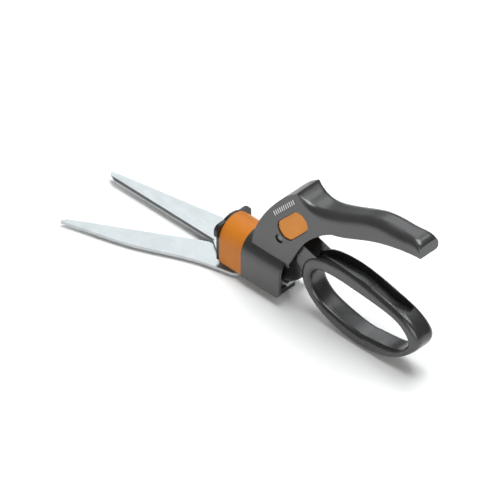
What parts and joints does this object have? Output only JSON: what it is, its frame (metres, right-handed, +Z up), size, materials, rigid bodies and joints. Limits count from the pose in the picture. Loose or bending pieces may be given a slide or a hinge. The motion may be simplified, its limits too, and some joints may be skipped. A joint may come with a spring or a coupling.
{
  "type": "grass shears",
  "caption": "Hand grass shears with long flat blades, an orange collar, an upper grip and a squeezed finger loop that closes the lower blade.",
  "frame": {"origin": "on the bottom cover's flat resting face, on the tool's mid-plane, 34 mm behind the collar's front edge", "axes": "+X to the rear along the tool (blades point to -X), -Y the side with the pivot pin's plain end, +Z up"},
  "size_m": [0.3299, 0.085, 0.135],
  "materials": {
    "body_plastic": "satin moulded plastic, dark grey",
    "cap_plastic": "satin moulded plastic, dark grey",
    "handle_plastic": "semi-gloss moulded plastic, dark grey",
    "collar_plastic": "satin moulded plastic, orange",
    "button_plastic": "satin moulded plastic, orange",
    "bezel_plastic": "black moulded plastic",
    "carrier_metal": "die-cast frame, dark",
    "cover_plastic": "black moulded plastic",
    "blade_steel": "ground and brushed blade steel",
    "bush_brass": "turned brass",
    "pin_steel": "turned steel",
    "screw_steel": "plated steel",
    "spring_steel": "spring wire",
    "bar_steel": "stamped steel"
  },
  "bodies": {
    "housing": {"right_shell": "body_plastic", "left_shell": "body_plastic", "handle_end_cap": "cap_plastic", "housing_screws": "screw_steel", "lever_pivot_pin": "pin_steel", "front_collar": "collar_plastic", "nose_bezel": "bezel_plastic", "blade_carrier": "carrier_metal", "fixed_blade": "blade_steel", "bottom_cover": "cover_plastic", "cover_screws": "screw_steel", "pivot_bolt": "pin_steel", "spring_washer": "pin_steel", "pivot_nut": "pin_steel", "return_spring": "spring_steel"},
    "lower_handle": {"lower_handle": "handle_plastic", "lever_bush": "bush_brass", "link_pin": "pin_steel"},
    "draw_bar": {"draw_bar": "bar_steel"},
    "moving_blade": {"moving_blade": "blade_steel", "blade_bush": "bush_brass", "drive_pin": "pin_steel"},
    "lock_button": {"lock_button": "button_plastic"}
  },
  "joints": [
    {"name": "squeeze", "type": "hinge", "parent": "housing", "child": "lower_handle", "pos_m": [0.0238, 0, 0.0607], "axis": [0, -1, 0], "range_deg": [0, 16], "stiffness_Nm_per_rad": 3, "springref_deg": -20.05, "deforming": ["return_spring"]},
    {"name": "draw", "type": "slide", "parent": "housing", "child": "draw_bar", "axis": [1, 0, 0], "range_m": [0, 0.0052]},
    {"name": "cut", "type": "hinge", "parent": "housing", "child": "moving_blade", "pos_m": [-0.026, -0.005, 0.004], "axis": [0, 0, -1], "range_deg": [0, 25]},
    {"name": "lock", "type": "slide", "parent": "housing", "child": "lock_button", "axis": [0, -1, 0], "range_m": [0, 0.004]}
  ],
  "couplings": [
    {"joint": "draw", "follows": "squeeze", "m_per_rad": 0.018602},
    {"joint": "cut", "follows": "squeeze", "ratio": 1.5625}
  ]
}
